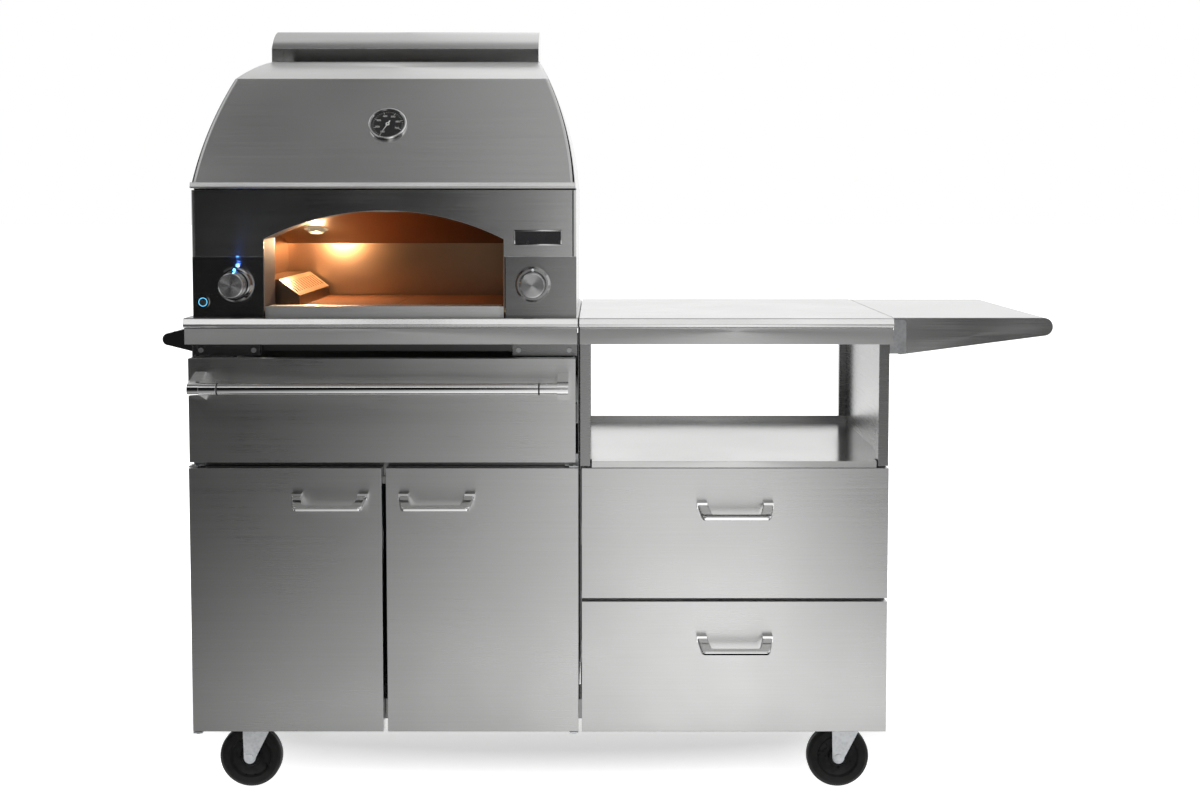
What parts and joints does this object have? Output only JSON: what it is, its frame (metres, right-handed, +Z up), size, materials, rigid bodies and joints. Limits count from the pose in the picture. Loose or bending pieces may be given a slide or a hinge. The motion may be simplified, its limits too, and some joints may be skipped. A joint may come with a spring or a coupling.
{
  "type": "pizza oven cart",
  "caption": "Stainless gas pizza oven with an arched mouth and hood, standing on a wheeled cabinet cart with doors, drawers, a tray bay, worktop, push bar and folding side shelf.",
  "frame": {"origin": "centre of the overall box, at the floor", "axes": "+Z up, the front with the doors and the oven's mouth faces -Y, +X to the viewer's right"},
  "size_m": [1.7889, 0.65, 1.584],
  "materials": {
    "brushed_stainless": "brushed along the width",
    "plain_stainless": "mill finish sheet",
    "burner_steel": "heat tinted",
    "zinc_plate": "zinc plated",
    "polished_steel": "polished",
    "satin_knob": "satin turned",
    "hearth_stone": "matt fired stone",
    "fibre_blanket": "loose fibre",
    "dial_black": "matt black with pale markings",
    "needle_white": "matt",
    "clear_glass": "clear",
    "lamp_glass": "warm clear",
    "brass_fittings": "turned",
    "caster_rubber": "matt"
  },
  "bodies": {
    "cart": {"base_rails": "brushed_stainless", "cabinet_panels": "brushed_stainless", "face_frame": "brushed_stainless", "shelf_tray": "brushed_stainless", "left_worktop": "brushed_stainless", "right_worktop": "brushed_stainless", "slide_channels": "zinc_plate", "hinge_brackets": "zinc_plate", "hinge_pins": "zinc_plate", "caster_plates": "zinc_plate", "push_handle": "polished_steel", "panel_screws": "zinc_plate", "oven_casing": "brushed_stainless", "oven_fascia": "brushed_stainless", "control_panels": "brushed_stainless", "mouth_liner": "brushed_stainless", "front_sill": "brushed_stainless", "hood_shell": "brushed_stainless", "chimney_cowl": "brushed_stainless", "cavity_walls": "plain_stainless", "hearth_stones": "hearth_stone", "burner_box": "plain_stainless", "floor_burner": "burner_steel", "side_burner": "burner_steel", "cavity_lamp": "lamp_glass", "insulation": "fibre_blanket", "thermometer_case": "polished_steel", "thermometer_dial": "dial_black", "thermometer_lens": "clear_glass", "control_bezels": "polished_steel", "gas_train": "brass_fittings", "badge_plate": "polished_steel"},
    "wide_drawer": {"wide_drawer_front": "brushed_stainless", "wide_drawer_tray": "plain_stainless", "wide_drawer_handle": "polished_steel"},
    "upper_drawer": {"upper_drawer_front": "brushed_stainless", "upper_drawer_box": "plain_stainless", "upper_drawer_pull": "polished_steel"},
    "lower_drawer": {"lower_drawer_front": "brushed_stainless", "lower_drawer_box": "plain_stainless", "lower_drawer_pull": "polished_steel"},
    "left_door": {"left_door": "brushed_stainless", "left_door_pull": "polished_steel"},
    "right_door": {"right_door": "brushed_stainless", "right_door_pull": "polished_steel"},
    "side_shelf": {"side_shelf": "brushed_stainless"},
    "left_stem": {"left_valve_stem": "zinc_plate"},
    "left_knob": {"left_knob": "satin_knob"},
    "right_stem": {"right_valve_stem": "zinc_plate"},
    "right_knob": {"right_knob": "satin_knob"},
    "light_button": {"light_button": "satin_knob"},
    "needle": {"thermometer_needle": "needle_white"},
    "fork_front_left": {"caster_fork_front_left": "zinc_plate"},
    "wheel_front_left": {"caster_wheel_front_left": "caster_rubber"},
    "fork_front_right": {"caster_fork_front_right": "zinc_plate"},
    "wheel_front_right": {"caster_wheel_front_right": "caster_rubber"},
    "fork_rear_left": {"caster_fork_rear_left": "zinc_plate"},
    "wheel_rear_left": {"caster_wheel_rear_left": "caster_rubber"},
    "fork_rear_right": {"caster_fork_rear_right": "zinc_plate"},
    "wheel_rear_right": {"caster_wheel_rear_right": "caster_rubber"}
  },
  "joints": [
    {"name": "wide_drawer_slide", "type": "slide", "parent": "cart", "child": "wide_drawer", "axis": [0, -1, 0], "range_m": [0, 0.34]},
    {"name": "upper_drawer_slide", "type": "slide", "parent": "cart", "child": "upper_drawer", "axis": [0, -1, 0], "range_m": [0, 0.36]},
    {"name": "lower_drawer_slide", "type": "slide", "parent": "cart", "child": "lower_drawer", "axis": [0, -1, 0], "range_m": [0, 0.36]},
    {"name": "left_door_hinge", "type": "hinge", "parent": "cart", "child": "left_door", "pos_m": [-0.8145, -0.248, 0.4], "axis": [0, 0, 1], "range_deg": [-105, 0]},
    {"name": "right_door_hinge", "type": "hinge", "parent": "cart", "child": "right_door", "pos_m": [-0.0565, -0.248, 0.4], "axis": [0, 0, -1], "range_deg": [-105, 0]},
    {"name": "side_shelf_fold", "type": "hinge", "parent": "cart", "child": "side_shelf", "pos_m": [0.593, 0.03, 0.917], "axis": [0, 1, 0], "range_deg": [0, 90]},
    {"name": "left_knob_turn", "type": "hinge", "parent": "cart", "child": "left_stem", "pos_m": [-0.727, -0.26, 1.042], "axis": [0, -1, 0], "range_deg": [0, 210]},
    {"name": "left_knob_push", "type": "slide", "parent": "left_stem", "child": "left_knob", "axis": [0, 1, 0], "range_m": [0, 0.004], "stiffness_N_per_m": 400},
    {"name": "right_knob_turn", "type": "hinge", "parent": "cart", "child": "right_stem", "pos_m": [-0.137, -0.26, 1.042], "axis": [0, -1, 0], "range_deg": [0, 210]},
    {"name": "right_knob_push", "type": "slide", "parent": "right_stem", "child": "right_knob", "axis": [0, 1, 0], "range_m": [0, 0.004], "stiffness_N_per_m": 400},
    {"name": "light_button_press", "type": "slide", "parent": "cart", "child": "light_button", "axis": [0, 1, 0], "range_m": [0, 0.002], "stiffness_N_per_m": 500},
    {"name": "needle_turn", "type": "hinge", "parent": "cart", "child": "needle", "pos_m": [-0.432, -0.172, 1.36], "axis": [0, 0.8178, -0.5755], "range_deg": [0, 270]},
    {"name": "front_left_caster_swivel", "type": "hinge", "parent": "cart", "child": "fork_front_left", "pos_m": [-0.6945, -0.173, 0.14], "axis": [0, 0, 1], "continuous": true},
    {"name": "front_left_wheel_spin", "type": "hinge", "parent": "fork_front_left", "child": "wheel_front_left", "pos_m": [-0.7245, -0.173, 0.0635], "axis": [0, 1, 0], "continuous": true},
    {"name": "front_right_caster_swivel", "type": "hinge", "parent": "cart", "child": "fork_front_right", "pos_m": [0.5165, -0.173, 0.14], "axis": [0, 0, 1], "continuous": true},
    {"name": "front_right_wheel_spin", "type": "hinge", "parent": "fork_front_right", "child": "wheel_front_right", "pos_m": [0.4865, -0.173, 0.0635], "axis": [0, 1, 0], "continuous": true},
    {"name": "rear_left_caster_swivel", "type": "hinge", "parent": "cart", "child": "fork_rear_left", "pos_m": [-0.6945, 0.2515, 0.14], "axis": [0, 0, 1], "continuous": true},
    {"name": "rear_left_wheel_spin", "type": "hinge", "parent": "fork_rear_left", "child": "wheel_rear_left", "pos_m": [-0.7245, 0.2515, 0.0635], "axis": [0, 1, 0], "continuous": true},
    {"name": "rear_right_caster_swivel", "type": "hinge", "parent": "cart", "child": "fork_rear_right", "pos_m": [0.5165, 0.2515, 0.14], "axis": [0, 0, 1], "continuous": true},
    {"name": "rear_right_wheel_spin", "type": "hinge", "parent": "fork_rear_right", "child": "wheel_rear_right", "pos_m": [0.4865, 0.2515, 0.0635], "axis": [0, 1, 0], "continuous": true}
  ]
}
